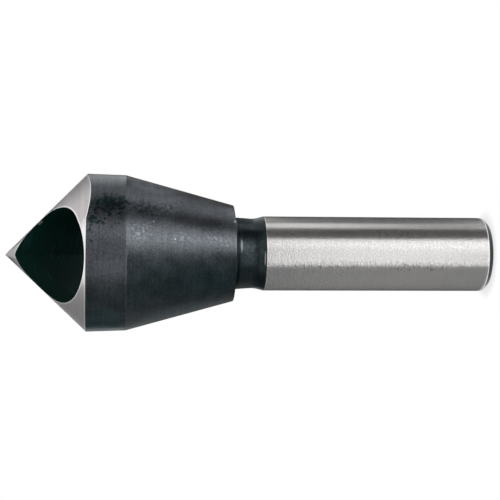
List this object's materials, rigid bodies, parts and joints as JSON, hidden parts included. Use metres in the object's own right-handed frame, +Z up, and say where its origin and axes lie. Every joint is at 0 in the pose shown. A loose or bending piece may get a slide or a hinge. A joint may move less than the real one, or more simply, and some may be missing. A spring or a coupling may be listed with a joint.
{
  "type": "countersink bit",
  "caption": "Countersink bit: a ground cone point with a slanted chip hole through a black tapered head, on a plain round shank.",
  "frame": {"origin": "centre of the shank's flat end, on which the bit stands", "axes": "+Z up the tool's axis from the shank to the tip, -Y the way the mouth of the cross hole faces, -X the side of the cutting edge"},
  "size_m": [0.021, 0.021, 0.065],
  "materials": {
    "tool_steel": "bright ground on the shank and the cone point, black oxide on the head, the neck and the shank's chamfer"
  },
  "bodies": {
    "root": {"countersink_bit": "tool_steel"}
  },
  "joints": []
}
